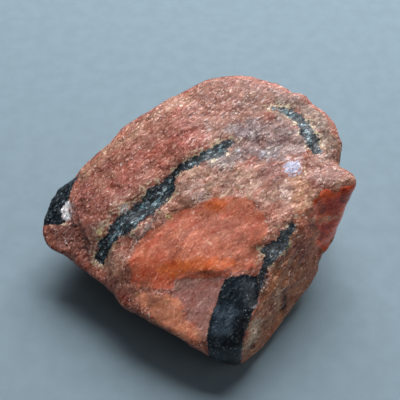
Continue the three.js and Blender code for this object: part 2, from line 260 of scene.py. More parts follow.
# Patches of other colour, in the order they are laid on, with their outlines in plan. The share is
# how much of the patch's colour shows.
Patch = namedtuple("Patch", "colour share edge outlines")
PATCHES = {
    "flush": Patch((182, 97, 80), 0.8, SOFT, [
        [(-18.5, 9.5), (-15, 11.5), (-11, 13), (-7, 14.5), (-3, 16), (0, 16.5), (-1, 13.5),
         (-4, 12), (-7.5, 11.5), (-11, 10.5), (-14, 8.5), (-17, 6.5)],
    ]),
    "mulberry": Patch((168, 92, 84), 0.4, FLECKED, [
        [(-27.5, 6), (-24.5, 9), (-22.5, 5), (-21.5, 0), (-23.5, -3.5), (-26.5, 0)],
        [(-18, 3), (-20, 5), (-19, 7.5), (-16.5, 9.5), (-14.5, 7), (-14.5, 4), (-16, 2)],
        [(-4, 12.5), (-7, 14), (-6, 16), (-2, 15.5), (0.5, 13.5), (-1.5, 12)],
    ]),
    # Painted highlight: a pale cream band along the back rim, where the light from behind catches
    # it.
    "painted_rim_highlight": Patch((184, 132, 108), 0.75, FLECKED, [
        [(-27.5, 12.5), (-23.5, 15), (-14.5, 20.5), (-9, 23.5), (-2, 27), (1, 26), (-1, 24),
         (-6.5, 21), (-16.5, 15), (-21.5, 12), (-25.5, 9)],
    ]),
    "peak": Patch((135, 77, 56), 0.85, SOFT, [
        [(-2.5, 26.5), (1, 29.5), (5, 31), (8, 29), (7, 25.5), (5, 22.5), (2.5, 18), (1.5, 15.5),
         (-1, 16.5), (0, 20.5)],
    ]),
    "crown": Patch((128, 78, 57), 0.95, SOFT, [
        [(5.5, 19), (7, 25.5), (10.5, 28.5), (14, 27.5), (18, 25), (20.5, 23), (18.5, 20.5),
         (15.5, 17.5), (11.5, 18), (7, 14.5), (4.5, 13), (2.5, 13), (2, 16)],
    ]),
    "rim_red": Patch((124, 70, 58), 0.7, CLEAN, [
        [(9, 29.5), (14, 27.5), (19, 25.5), (22.5, 24), (24.5, 23), (22.5, 22.8), (18, 24.2),
         (13, 26.2), (9, 28)],
    ]),
    "east_rim": Patch((114, 84, 66), 0.95, SOFT, [
        [(17, 23.5), (20, 24.5), (23.5, 23), (26.5, 20), (29, 17), (30.5, 13.5), (31, 11.5),
         (29.5, 9), (27.5, 9), (26.5, 10.5), (26, 13), (25, 16.5), (23.5, 19), (21, 21.5),
         (18, 22)],
    ]),
    "pale_green": Patch((124, 102, 88), 0.85, SOFT, [
        [(16, 19), (19, 20.5), (22, 19), (22.5, 17), (20.5, 16), (18, 17), (16.5, 17.5)],
    ]),
    "olive": Patch((88, 72, 60), 0.9, SOFT, [
        [(22, 17), (23.5, 17.5), (25, 15), (26, 11.5), (25.5, 10), (23.5, 10), (22.5, 13)],
    ]),
    # Partly the stone's grey-pink, partly a painted sheen across this part of the top.
    "dusk_and_painted_sheen": Patch((127, 97, 92), 0.95, SOFT, [
        [(1.5, 8.5), (3, 10), (5.5, 11.5), (7, 13.5), (5.5, 15), (7, 17), (10, 18), (13.5, 17),
         (17, 17), (20.5, 16.5), (23, 14), (23.5, 11), (22, 8), (19.5, 7.5), (16.5, 7.5),
         (13.5, 7), (10.5, 7.5), (8, 7), (5, 6.5), (1.5, 7)],
    ]),
    "frost": Patch((140, 118, 118), 0.8, FLECKED, [
        [(12, 9.5), (14.5, 10), (18, 9), (19.5, 7.5), (17.5, 6.5), (14.5, 7), (12.5, 8)],
        [(7, 14.5), (10, 16.5), (12.5, 16), (13.5, 14.5), (11.5, 13.5), (8.5, 13)],
    ]),
    "plateau": Patch((188, 140, 122), 0.95, SOFT, [
        [(-5, 6), (-2, 7), (1.5, 7), (4.5, 6), (8.5, 7), (13.5, 6.5), (18, 3), (21, 2.5),
         (23.5, 2), (22.5, -2.5), (20.5, -4), (17.5, -4.5), (15, -4), (13, -2.5), (10.5, -1),
         (7, 0.5), (3, 0), (0, -1), (-3, -1), (-5, 0.5), (-6, 3)],
    ]),
    "mauve": Patch((150, 100, 90), 0.9, SOFT, [
        [(13.5, 6), (17.5, 5.5), (18, 3.5), (16, 2.5), (13, 3.5)],
    ]),
    "vein_frost": Patch((168, 166, 178), 0.8, FLECKED, [
        [(5, 9.4), (6.2, 10.6), (7.4, 11.8), (8.4, 10.4), (7.8, 8.8), (6.4, 8), (5.2, 8.4)],
    ]),
    "vein_cream": Patch((200, 172, 148), 0.8, FLECKED, [
        [(-19, 1.4), (-16.8, 1.8), (-14, 2.6), (-12.4, 3.6), (-13.4, 1.8), (-15.8, 0.4),
         (-18, -0.6), (-20.4, -2.6), (-21.6, -3.8), (-22.8, -4.6), (-23.4, -4), (-22, -2.8),
         (-20.8, -1.4)],
    ]),
    "white_fan": Patch((224, 224, 226), 1.0, FINE, [
        [(-31.4, 5), (-29.2, 5.2), (-28.2, 3.4), (-28.4, 1.6), (-30.4, 1.6), (-31.4, 3)],
    ]),
    "west_plateau": Patch((164, 115, 98), 0.95, SOFT, [
        [(-19, -9.5), (-18, -7.5), (-16, -6), (-13, -5), (-10.5, -4), (-9, -2.5), (-7, -0.5),
         (-5, -0.5), (-6, -1.5), (-8.5, -3.5), (-11, -5.5), (-13, -7), (-14.5, -9), (-15, -11),
         (-16.5, -11.5)],
    ]),
    "west_cream": Patch((208, 150, 124), 0.9, SOFT, [
        [(-20.5, -8.5), (-18.5, -10), (-16.5, -12.5), (-15, -14.5), (-16.5, -15), (-18.5, -13),
         (-20.5, -10.5)],
        [(-6.5, -1.5), (-4, -1), (-1, -0.5), (0, -1.5), (-3, -2), (-5.5, -2.5)],
    ]),
    "lilac": Patch((218, 178, 164), 0.9, FLECKED, [
        [(-2, 4), (0.5, 3.5), (1.5, 1.5), (0, 0), (-2, 0.5), (-3, 2.5)],
        [(17.5, 1), (20, 0.5), (20.5, -1.5), (19, -2.5), (17, -1.5)],
    ]),
    "buff": Patch((208, 150, 118), 0.9, SOFT, [
        [(19.5, 2.5), (23.5, 2), (23.5, -1.5), (23, -4), (21, -6), (19.5, -4.5), (19.5, -1.5)],
    ]),
    "grey_pink": Patch((188, 131, 112), 0.8, SOFT, [
        [(13, -2.5), (17, -2.5), (19.5, -4), (19, -5.5), (16.5, -7), (14.5, -5.5)],
    ]),
    "brick": Patch((138, 90, 75), 0.9, SOFT, [
        [(22, 9.5), (24.5, 9.5), (27, 8.5), (29, 6), (28.5, 2.5), (25.5, 1.5), (23, 2),
         (21.5, 4.5)],
    ]),
    "tip": Patch((146, 102, 84), 0.95, SOFT, [
        [(28, 8), (31, 6), (34, 5), (34, 1), (30.5, 0), (28, 1), (27, 4)],
    ]),
    "halo": Patch((122, 98, 92), 0.85, FLECKED, [
        [(-17.5, -6), (-15.5, -5), (-12.5, -4.5), (-10.5, -3), (-9.5, -3.5), (-11, -5.5),
         (-13.5, -6), (-16, -7)],
        [(1, 8), (4, 9), (6.5, 10.5), (8, 9), (7, 6), (4.5, 6), (1.5, 7)],
    ]),
    "east_tan": Patch((172, 95, 68), 0.85, SOFT, [
        [(19.5, -6), (23, -4.5), (24, -5), (23.5, -7.5), (21.5, -9.5), (19.5, -10), (19, -8.5)],
    ]),
    "amber": Patch((196, 108, 80), 1.0, CLEAN, [
        [(-15, -13), (-14.5, -11), (-14, -8.5), (-12.5, -6.5), (-10, -5), (-8, -4), (-6, -2.5),
         (-4, -1.5), (-1.5, -1), (1, -0.5), (3.5, 0), (7, 0), (10, -1), (12, -2.5), (13, -4.5),
         (14, -6.5), (14, -8.5), (12.5, -10), (12, -14), (9, -15), (5.5, -15.5), (1, -15.5),
         (-3, -15.5), (-6, -17), (-9, -17), (-12, -15.5), (-14.5, -14.5)],
    ]),
    "burnish": Patch((176, 98, 76), 0.8, SOFT, [
        [(0, -3.5), (3, -3.5), (6.5, -4.5), (8.5, -7.5), (9.5, -10), (6.5, -10), (4.5, -9),
         (2, -7.5), (0, -6)],
    ]),
    "red_brown": Patch((164, 90, 64), 0.85, SOFT, [
        [(6.5, -13.5), (9.5, -13), (12, -13), (13, -11), (13.5, -9.5), (12, -9.5), (10.5, -10),
         (8.5, -11.5)],
    ]),
    "ember": Patch((206, 100, 68), 0.95, SOFT, [
        [(-14.5, -13), (-14.5, -11.5), (-14, -9.5), (-12, -8.5), (-10, -10), (-7, -11.5),
         (-8, -13), (-6.5, -14), (-5.5, -15), (-6, -17), (-7.5, -17.5), (-9.5, -16.5), (-11, -15),
         (-13, -15), (-14.5, -14.5)],
    ]),
    "live_coal": Patch((184, 80, 50), 0.9, SOFT, [
        [(-10.5, -14), (-8.5, -14), (-5.5, -15), (-6, -16.5), (-7.5, -17), (-9.5, -16)],
    ]),
    "tangerine": Patch((200, 92, 34), 0.95, Edge(1.2, 0.4, 0.4), [
        [(-9.5, -12.5), (-6.5, -11.5), (-3.5, -12), (0, -12.3), (3, -12), (6.5, -12.5), (8, -13.8),
         (5, -14.7), (1.5, -14.7), (-2.5, -14.7), (-6, -14.7), (-8.5, -14)],
        [(0.5, -1), (3, -0.5), (5.5, -1), (5, -2.3), (2.5, -2.4)],
    ]),
    # Painted light: a bright orange strip below the ledge, lightening the shade that the ledge casts
    # there.
    "painted_ledge_light": Patch((240, 124, 86), 0.9, CLEAN, [
        [(-4.5, -15.2), (-2, -15.3), (1, -15.5), (4, -15.6), (6, -15.8), (6.2, -15.2), (3, -14.9),
         (0, -14.8), (-3, -14.8)],
    ]),
    "rose": Patch((170, 117, 106), 0.95, CLEAN, [
        [(-5, -15.5), (-2, -15.5), (1, -15.7), (5.5, -16), (5, -18.5), (3.5, -20.5), (2.5, -23),
         (1.5, -26.5), (0, -27.5), (-2, -24.5), (-4.5, -21.5), (-6.5, -19.5), (-6, -17.5)],
    ]),
    "apricot": Patch((236, 148, 112), 0.95, SOFT, [
        [(-10.5, -17), (-6.5, -17.5), (-5, -19), (-3, -22.5), (-0.5, -25.5), (1, -28), (-2, -27),
         (-6, -25), (-10, -22), (-12.5, -18), (-12.5, -16.5)],
    ]),
    "garnet": Patch((130, 54, 46), 0.9, CLEAN, [
        [(-16.5, -15.6), (-15, -16.4), (-15, -18), (-16.2, -17.1), (-17, -16.1)],
    ]),
    "west_dark": Patch((140, 102, 88), 0.8, SOFT, [
        [(-25, -1), (-22.5, -2), (-21, -4), (-21.5, -6), (-23, -8.5), (-24, -9.5), (-25, -7),
         (-25.5, -3.5)],
    ]),
    "lump_red": Patch((188, 118, 104), 0.7, SOFT, [
        [(-28, 4.5), (-26.5, 3), (-25, -0.5), (-24, -3.5), (-25.5, -3), (-27, 0), (-28.5, 3.5)],
    ]),
    "west_lump": Patch((114, 68, 59), 0.85, SOFT, [
        [(-34, 0.5), (-30.5, 0), (-27.5, -1), (-25, -4), (-24.5, -6), (-27, -5.5), (-30.5, -4),
         (-34, -2)],
    ]),
    # The lower-left rim's own colour, made paler with painted light where the rim turns down into
    # shade.
    "west_rim_painted_light": Patch((206, 120, 96), 0.85, SOFT, [
        [(-35, -2), (-32.5, -3), (-29.5, -5.5), (-26, -7.5), (-23.5, -9.5), (-21.5, -12),
         (-18.5, -14), (-16.5, -16.5), (-16, -18), (-18, -16.5), (-21, -13), (-26, -10),
         (-31, -6)],
    ]),
    "shadowed": Patch((88, 54, 42), 0.9, SOFT, [
        [(13.5, -13.5), (16.5, -12), (20, -9.5), (22, -9), (19, -12), (16, -14), (14.5, -15)],
    ]),
    "moss": Patch((84, 74, 62), 0.85, FLECKED, [
        [(12, -16.5), (13, -16), (14, -18), (13.5, -20.5), (11.5, -23), (10.5, -24), (12, -20.5)],
    ]),
    "olive_fleck": Patch((124, 104, 80), 0.85, FLECKED, [
        [(17, -10.5), (19, -8.5), (20.5, -8.5), (19.5, -10), (17.5, -11.5)],
    ]),
}

# The same for the right-hand wall, with the outlines as seen from the front, in x and z.
WALL_PATCHES = {
    "upper_wall": Patch((178, 100, 72), 0.9, SOFT, [
        [(20, 24), (23, 22.5), (24, 19), (23.5, 15.5), (21.5, 17), (19.5, 19.5), (19, 22.5)],
    ]),
    "tan_wall": Patch((166, 104, 70), 0.95, SOFT, [
        [(13, 18), (15, 20), (17.5, 19.5), (21.5, 17), (23.5, 11), (22, 7.5), (18.5, 5.5), (15, 4),
         (11.5, 5.5), (10, 5.5), (8.5, 11.5), (10, 14.5), (12, 15.5)],
    ]),
    "stripe": Patch((206, 156, 120), 0.85, FINE, [
        [(15.8, 16), (16.8, 14.5), (17.2, 11), (17.2, 8.4), (16.2, 10), (15.8, 13.4)],
    ]),
    # Painted shade: a dark stroke for the shadow in a narrow slot in the wall.
    "painted_slot_shade": Patch((84, 44, 32), 0.95, Edge(0.5, 0.8, 0.4), [
        [(17.3, 13.6), (18, 13.4), (18.6, 10), (18.6, 7), (18.2, 5.7), (17.7, 6.8), (17.5, 10)],
    ]),
    "chalk": Patch((186, 160, 134), 0.85, Edge(0.8, 2.4, 1.2), [
        [(12.8, 13), (11.5, 13.7), (10.2, 14), (9.4, 13), (8.7, 11.7), (9.6, 9.2), (11.2, 9.4),
         (12.2, 10.5)],
    ]),
    "dusky_wall": Patch((132, 62, 42), 0.85, SOFT, [
        [(19.5, 21.5), (21.5, 20), (23, 17.5), (23.5, 14), (21.5, 15), (20, 17.5)],
    ]),
    "tan_strip": Patch((226, 128, 92), 0.8, FLECKED, [
        [(23.5, 20), (24.5, 19), (25.5, 17.5), (26, 15), (25.5, 12.5), (25, 11.5), (24, 12),
         (23.5, 14), (24.5, 15.5), (24, 18)],
    ]),
    "glass": Patch((252, 102, 54), 1.0, Edge(0.5, 0.6, 0.9), [
        [(23.5, 24), (24, 25.5), (25.5, 26), (26, 26.8), (28, 26.6), (32, 26), (37, 25.5),
         (37, 13), (30, 12.5), (28, 12), (26.5, 12), (25.5, 14.5), (26, 17), (25, 20), (24, 22)],
    ]),
    "brick_glass": Patch((246, 108, 66), 0.9, CLEAN, [
        [(23.5, 23.5), (24, 25), (25, 25.5), (26.5, 24.5), (26.5, 21.5), (25, 21), (24, 22.5)],
    ]),
    "blood_glass": Patch((192, 58, 34), 0.85, Edge(1.6, 0.8, 1.0), [
        [(27, 25), (31, 25.5), (32, 24.5), (31, 22.5), (29.5, 20), (28, 20.5), (27, 22.5)],
        [(26, 19.5), (28.5, 18.5), (28, 16), (26.5, 16)],
    ]),
    "glass_seam": Patch((250, 166, 128), 0.85, FINE, [
        [(24, 22.5), (26, 21), (27.5, 20.2), (31, 19.8), (31, 19.2), (27.5, 19.4), (25.5, 20.2),
         (24, 21.4)],
    ]),
    "umber": Patch((112, 46, 34), 0.85, Edge(0.6, 0.6, 0.4), [
        [(23, 22), (24.5, 21), (25, 20), (25, 19), (24, 20)],
    ]),
}

SMOOTH_FACES = ("amber", "rose", "apricot", "glass", "front_facet")

# Thin seams, as paths of points [x, y, z], with their half-width in mm.
Seam = namedtuple("Seam", "colour share half_width paths")
SEAMS = {
    "cream": Seam((220, 188, 160), 0.75, 0.10, [
        [(0.6, 5.6, 27.1), (3, 4.5, 26.8), (6, 2.8, 26.2), (8.5, 1.4, 25.8)],
        [(4.5, 0.1, 24.7), (6.4, 1.8, 25.7), (8.5, 2.2, 26.2), (11, 1.5, 26.4)],
        [(-1.5, -5.1, 21), (0.4, -7.5, 20.7), (2.9, -10, 21.1)],
        [(-34.3, 1.1, 13.8), (-31.9, 0.7, 14.7), (-29.4, 0.5, 15.2)],
        [(23.4, -4.4, 23.1), (26, -2.8, 21.9), (28.9, -1.5, 19.9), (30.5, -0.5, 20.1)],
        [(22.2, 5.8, 28.6), (22.4, 3.6, 28.3)],
    ]),
    "crack": Seam((64, 30, 30), 0.95, 0.13, [
        [(11.7, 12.1, 29.7), (12.8, 13.2, 30.1)],
        [(13.9, 12.2, 29.9), (15.4, 11.2, 29.6)],
        [(15.1, 10, 29.4), (16.6, 10.8, 29.5), (18.1, 10.1, 29.2)],
        [(16.5, 11.7, 29.7), (18.9, 13.1, 29.9), (20.9, 14, 30.2)],
        [(-28.9, 3, 16.8), (-28, 0.5, 15.6), (-26.8, -2, 14.5), (-24.5, -4.2, 15.6),
         (-23.6, -5.6, 15.4)],
        [(17.5, -15.5, 13.8), (18.2, -15.4, 9.8), (18, -16, 6.4)],
        [(-6, -1.6, 22), (-4.9, -1.4, 22.3)],
        [(15.2, 8.6, 29), (17.4, 8.9, 29.1), (18.6, 9.6, 29.2), (20.6, 9.2, 29.2)],
    ]),
}

# Small spots: place [x, y, z], radius in mm and colour.
Spot = namedtuple("Spot", "place radius colour")
SPOTS = {
    # Painted reflections: the next two are the window's reflection in flat cleavage faces.
    "painted_window_reflection": Spot((19.6, 5.2, 28.8), 1.8, (176, 176, 200)),
    "painted_small_reflection": Spot((13.7, 8.7, 29.1), 0.8, (170, 162, 172)),
    "white_knot": Spot((-16.6, 0.2, 20.6), 0.8, (176, 184, 186)),
    "yellow_fleck": Spot((-21.6, -3.6, 17.4), 0.9, (208, 186, 138)),
    "yellow_notch": Spot((-6.6, -2.5, 21.4), 0.7, (200, 180, 120)),
    "wall_fleck": Spot((18.4, -10.1, 21.8), 1.0, (150, 142, 104)),
    "violet_fleck": Spot((-10.2, -1.7, 21.2), 0.7, (60, 44, 58)),
    "pit": Spot((10.9, -26.2, 8.0), 0.5, (44, 26, 20)),
}

# The ridge between the top and the right-hand wall, in plan, from the front. The wall is to the
# right of it.
RIDGE = [
    (8, -33), (9.5, -26), (10.8, -23.3), (11.9, -21), (12.1, -18.5), (12.4, -15.3), (15.5, -11.2),
    (19.4, -6.4), (23, -4.6), (23.3, 1), (25, 3), (30, 4.5), (45, 8),
]


# ---------------------------------------------------------------- numbers over many points

HASH_PRIMES = (73856093, 19349663, 83492791, 2654435761)  # for a cell's i, j and k, and the seed
MIX_PRIME = 1274126177
LOW_32_BITS = 0xFFFFFFFF
LOW_24_BITS = 0xFFFFFF


def smoothstep(value, low, high):
    """A soft rise from 0 at low to 1 at high, which may be the smaller of the two."""
    share = np.clip((value - low) / (high - low), 0, 1)
    return share * share * (3 - 2 * share)


def cell_random(cell, seed):
    """A repeatable number from 0 to 1 for each whole-numbered cell [i, j, k]."""
    mixed = seed * HASH_PRIMES[3]
    for axis in range(3):
        mixed = mixed ^ (cell[..., axis].astype(np.int64) * HASH_PRIMES[axis])
    mixed = mixed & LOW_32_BITS
    mixed = ((mixed ^ (mixed >> 13)) * MIX_PRIME) & LOW_32_BITS
    return ((mixed ^ (mixed >> 16)) & LOW_24_BITS) / LOW_24_BITS


def waves(points, length, seed):
    """Smooth noise from -1 to 1, with waves about that long in mm."""
    scaled = points / length
    cell = np.floor(scaled)
    fade = smoothstep(scaled - cell, 0, 1)
    total = 0
    for corner in np.ndindex(2, 2, 2):
        weight = np.prod(np.where(corner, fade, 1 - fade), axis=1)
        total = total + weight * cell_random(cell + np.array(corner), seed)
    return 2 * total - 1


def along_grain(points, stretch):
    """The points turned to the grain and shrunk along it, so that what is made there is long."""
    cos, sin = math.cos(GRAIN_TURN), math.sin(GRAIN_TURN)
    x, y, z = points.T
    return np.stack([(x * cos + y * sin) / stretch, y * cos - x * sin, z], axis=1)


def chip_heights(points, layer):
    """Heights of small flat faces, each with a tilt and a level of its own."""
    scaled = points / layer.size
    home = np.floor(scaled)
    nearest = np.full(len(points), np.inf)
    height = np.zeros(len(points))
    for offset in np.ndindex(3, 3, 3):
        cell = home + np.array(offset) - 1
        draws = [cell_random(cell, layer.seed + n) for n in range(7)]
        reach = scaled - cell - np.stack(draws[:3], axis=1)
        distance = (reach**2).sum(axis=1)
        slope = 2 * np.stack(draws[3:6], axis=1) - 1
        level = layer.size * layer.tilt * (reach * slope).sum(axis=1)
        level = level + layer.step * (2 * draws[6] - 1)
        closer = distance < nearest
        nearest = np.where(closer, distance, nearest)
        height = np.where(closer, level, height)
    return height


# ---------------------------------------------------------------- distances to the marks

def vein_distance(points, path):
    """Distance in mm outside a vein, negative inside."""
    path = np.array(path)
    scale = np.array([1, 1, FLATTEN])
    nearest = np.full(len(points), FAR)
    for start, end in zip(path[:-1], path[1:]):
        run = (end - start)[:3] * scale
        offset = (points - start[:3]) * scale
        share = np.clip(offset @ run / (run @ run), 0, 1)
        distance = np.linalg.norm(offset - share[:, None] * run, axis=1)
        nearest = np.minimum(nearest, distance - start[3] - share * (end[3] - start[3]))
    return nearest


def edge_distance(along, across, run):
    """Distance in mm in plan from a straight edge, for offsets from where it starts."""
    share = np.clip((along * run[0] + across * run[1]) / (run @ run), 0, 1)
    return np.hypot(along - share * run[0], across - share * run[1])


def outline_distance(points, outline):
    """Distance in mm in plan outside a closed outline, negative inside."""
    x, y = points[:, 0], points[:, 1]
    nearest = np.full(len(points), np.inf)
    inside = np.zeros(len(points), bool)
    for (ax, ay), (bx, by) in zip(outline, outline[1:] + outline[:1]):
        run = np.array([bx - ax, by - ay])
        nearest = np.minimum(nearest, edge_distance(x - ax, y - ay, run))
        if ay != by:
            crosses = (ay > y) != (by > y)
            inside ^= crosses & (x < ax + (y - ay) * run[0] / run[1])
    return np.where(inside, -nearest, nearest)


def side_distance(points, path):
    """Distance in mm in plan from an open path, negative to the right of it."""
    x, y = points[:, 0], points[:, 1]
    nearest = np.full(len(points), np.inf)
    side = np.ones(len(points))
    for (ax, ay), (bx, by) in zip(path[:-1], path[1:]):
        run = np.array([bx - ax, by - ay])
        distance = edge_distance(x - ax, y - ay, run)
        turn = run[0] * (y - ay) - run[1] * (x - ax)
        side = np.where(distance < nearest, np.sign(turn), side)
        nearest = np.minimum(nearest, distance)
    return nearest * side


def off_overhangs(normals):
    """FAR on faces that look down, where outlines in plan don't reach, and 0 on the rest."""
    return FAR * (1 - smoothstep(normals[:, 2], *OVERHANG))


def dark_marks(points, normals, wobble):
    """The distances that veins and black patches are drawn by."""
    overhang = off_overhangs(normals)
    under = FAR * (1 - smoothstep(normals[:, 2], *UNDERSIDE))
    veins = {name: outline_distance(points, line) + overhang for name, line in VEINS.items()}
    jets = {name: outline_distance(points, line) + under for name, line in JET_PATCHES.items()}
    rear = [vein_distance(points, path) for path in REAR_VEINS.values()]
    marks = {
        "lower_vein": veins["lower_vein"],
        "front_facet": jets["front_facet"],
        "jet": np.minimum.reduce(list(jets.values())),
        "dark": np.minimum.reduce([*veins.values(), *jets.values(), *rear]) + VEIN_RAGGED * wobble,
    }
    for name, (_, outline) in JET_SHADES.items():
        marks[name] = outline_distance(points, outline) + under + SHADE_RAGGED * wobble
    return marks


def patch_distance(points, patch):
    """Distance in mm in plan outside the nearest of a patch's outlines, negative inside."""
    return np.minimum.reduce([outline_distance(points, line) for line in patch.outlines])


def patch_marks(points, normals, wobble):
    """The distances that patches of the top and of the right-hand wall are drawn by."""
    overhang = off_overhangs(normals)
    turned_away = FAR * smoothstep(normals[:, 0] - normals[:, 1], *TURNED_AWAY)
    level = FAR * smoothstep(normals[:, 2], *LEVEL)
    wall = side_distance(points, RIDGE) + WALL_RAGGED * wobble + turned_away + level
    marks = {"wall": wall}
    for name, patch in PATCHES.items():
        marks[name] = patch_distance(points, patch) + overhang + patch.edge.ragged * wobble
    from_front = points[:, [0, 2, 1]]
    for name, patch in WALL_PATCHES.items():
        distance = patch_distance(from_front, patch) + patch.edge.ragged * wobble
        marks[name] = np.maximum(distance, wall)
    return marks


def surface_marks(points, normals):
    """Distance in mm to every mark, by name, at every point."""
    wobble = waves(points, LONG_WAVE, seed=11) + 0.5 * waves(points, SHORT_WAVE, seed=12)
    marks = dark_marks(points, normals, wobble)
    marks.update(patch_marks(points, normals, wobble))
    marks["rear"] = FAR * (1 - smoothstep(normals[:, 1], *REARWARD))
    for name, seam in SEAMS.items():
        paths = [[(*place, seam.half_width) for place in path] for path in seam.paths]
        distance = np.minimum.reduce([vein_distance(points, path) for path in paths])
        marks[name] = distance + SEAM_RAGGED * wobble
    for name, spot in SPOTS.items():
        distance = np.linalg.norm(points - spot.place, axis=1) - spot.radius
        marks[name] = distance + SPOT_RAGGED * wobble
    return {name: np.clip(distance, -FAR, FAR) for name, distance in marks.items()}


# ---------------------------------------------------------------- the piece

def add_smoothing(piece, steps):
    smoothing = piece.modifiers.new("smoothing", "SMOOTH")
    smoothing.factor = 0.5
    smoothing.iterations = steps
    return smoothing


def apply_modifiers(piece):
    evaluated = piece.evaluated_get(bpy.context.evaluated_depsgraph_get())
    piece.data = bpy.data.meshes.new_from_object(evaluated)
    piece.modifiers.clear()


def fine_copy(node):
    """An evenly and finely meshed copy of a CAD node, as a new object."""
    mesh = node.data.copy()
    welded = bmesh.new()
    welded.from_mesh(mesh)
    bmesh.ops.remove_doubles(welded, verts=welded.verts, dist=WELD)
    welded.to_mesh(mesh)
    welded.free()
    piece = bpy.data.objects.new("rough_stone", mesh)
    bpy.context.scene.collection.objects.link(piece)
    even = piece.modifiers.new("even", "REMESH")
    even.mode = "VOXEL"
    even.voxel_size = VOXEL * MM
    add_smoothing(piece, EASE_STEPS)
    apply_modifiers(piece)
    return piece


def point_arrays(mesh):
    """The points in mm from the foot of the heart, and their normals."""
    points = np.empty(3 * len(mesh.vertices))
    normals = np.empty(3 * len(mesh.vertices))
    mesh.vertices.foreach_get("co", points)
    mesh.vertex_normals.foreach_get("vector", normals)
    return points.reshape(-1, 3) / MM - HEART_FOOT, normals.reshape(-1, 3)


def on_smooth_faces(marks, start, full):
    """0 off the smooth faces and up to start, in mm inside their edges, and 1 from full on."""
    return np.maximum.reduce([smoothstep(-marks[name], start, full) for name in SMOOTH_FACES])


def iron(piece):
    """Takes the facets of the CAD stone out of its smooth faces."""
    marks = surface_marks(*point_arrays(piece.data))
    weights = on_smooth_faces(marks, *IRON_EDGE)
    group = piece.vertex_groups.new(name="smooth_faces")
    for index in np.flatnonzero(weights > 0.01):
        group.add([int(index)], float(weights[index]), "REPLACE")
    add_smoothing(piece, IRON_STEPS).vertex_group = group.name
    apply_modifiers(piece)
    piece.vertex_groups.clear()


def fracture(points, marks):
    """Height in mm of the broken surface above the smooth one."""
    grain = along_grain(points, CHIP_STRETCH)
    chips = sum(chip_heights(grain, layer) for layer in CHIP_LAYERS)
    loss = SMOOTH_LOSS * on_smooth_faces(marks, *SMOOTH_EDGE)
    vein = smoothstep(-marks["dark"], *VEIN_STEP)
    return chips * (1 - loss) - VEIN_DEPTH * vein


def roughen(piece):
    """Breaks the piece's surface and writes its marks."""
    mesh = piece.data
    points, normals = point_arrays(mesh)
    marks = surface_marks(points, normals)
    above_rest = smoothstep(points[:, 2], *REST_EDGE)
    points = points + normals * (above_rest * fracture(points, marks))[:, None]
    points[:, 2] = np.maximum(points[:, 2], 0)
    mesh.vertices.foreach_set("co", ((points + HEART_FOOT) * MM).ravel())
    for name, distance in marks.items():
        attribute = mesh.attributes.new("mark_" + name, "FLOAT", "POINT")
        attribute.data.foreach_set("value", distance)
    mesh.update()


# ---------------------------------------------------------------- materials

def rgb(colour):
    """An sRGB colour out of 255 as the linear numbers that a shader takes."""
    parts = [part / 255 for part in colour]
    linear = (p / 12.92 if p <= 0.04045 else ((p + 0.055) / 1.055) ** 2.4 for p in parts)
    return (*linear, 1.0)


class Graph:
    """Adds nodes to a material. Each method that adds one returns its output."""

    def __init__(self, material):
        material.use_nodes = True
        self.tree = material.node_tree
        self.shader = self.tree.nodes["Principled BSDF"]
        self.mm = self.scaled(self.node("TexCoord", output="Object"), 1 / MM)
        turn = {0: self.mm, 3: -GRAIN_TURN}
        turned = self.node("VectorRotate", rotation_type="Z_AXIS", inputs=turn)
        self.grain = self.vector("MULTIPLY", turned, (GRAIN_SQUEEZE, 1, 1))

    def node(self, kind, output=0, inputs=None, **settings):
        made = self.tree.nodes.new("ShaderNode" + kind)
        for name, value in settings.items():
            setattr(made, name, value)
        for name, value in (inputs or {}).items():
            if isinstance(value, bpy.types.NodeSocket):
                self.tree.links.new(value, made.inputs[name])
            else:
                made.inputs[name].default_value = value
        return made.outputs[output]

    def connect(self, output, name):
        self.tree.links.new(output, self.shader.inputs[name])

    def set(self, name, value):
        self.shader.inputs[name].default_value = value

    def mark(self, name):
        return self.node("Attribute", output="Fac", attribute_name="mark_" + name)

    def noise(self, place, size, detail=2.0, roughness=0.5, output=0):
        sizes = {"Vector": place, "Scale": 1 / size, "Detail": detail, "Roughness": roughness}
        return self.node("TexNoise", output=output, inputs=sizes)

    def cells(self, place, size):
        """A random colour for each cell of about that size."""
        inputs = {"Vector": place, "Scale": 1 / size}
        return self.node("TexVoronoi", output="Color", inputs=inputs)

    def channel(self, colour, name):
        return self.node("SeparateColor", output=name, inputs={0: colour})

    def ramp(self, value, low, high, to_low=0.0, to_high=1.0):
        limits = {0: value, 1: low, 2: high, 3: to_low, 4: to_high}
        return self.node("MapRange", interpolation_type="SMOOTHSTEP", inputs=limits)

    def inside(self, distance, fade, share=1.0):
        """The share where a distance is negative, and 0 beyond an edge that fades over some mm."""
        return self.ramp(distance, fade / 2, -fade / 2, 0.0, share)

    def math(self, operation, a, b=0.0):
        return self.node("Math", operation=operation, inputs={0: a, 1: b})

    def swing(self, pattern, reach):
        """A pattern from 0 to 1 moved to run from minus to plus half the reach."""
        return self.math("MULTIPLY", self.math("SUBTRACT", pattern, 0.5), reach)

    def vector(self, operation, a, b):
        return self.node("VectorMath", operation=operation, inputs={0: a, 1: b})

    def scaled(self, vector, factor):
        return self.node("VectorMath", operation="SCALE", inputs={0: vector, 3: factor})

    def vector_swing(self, pattern, reach):
        """The same as swing, for each part of a colour."""
        return self.scaled(self.vector("SUBTRACT", pattern, (0.5, 0.5, 0.5)), reach)

    def mix(self, share, a, b, blend="MIX"):
        colours = {0: share, 6: a, 7: b}
        return self.node("Mix", output=2, data_type="RGBA", blend_type=blend, inputs=colours)

    def mix_numbers(self, share, a, b):
        return self.node("Mix", data_type="FLOAT", inputs={0: share, 2: a, 3: b})


def stone_grains(g, place, size):
    """Random numbers for each crystal grain, as a colour."""
    stray = g.vector_swing(g.noise(g.mm, size=0.8, output="Color"), 0.5)
    return g.cells(g.vector("ADD", place, stray), size)


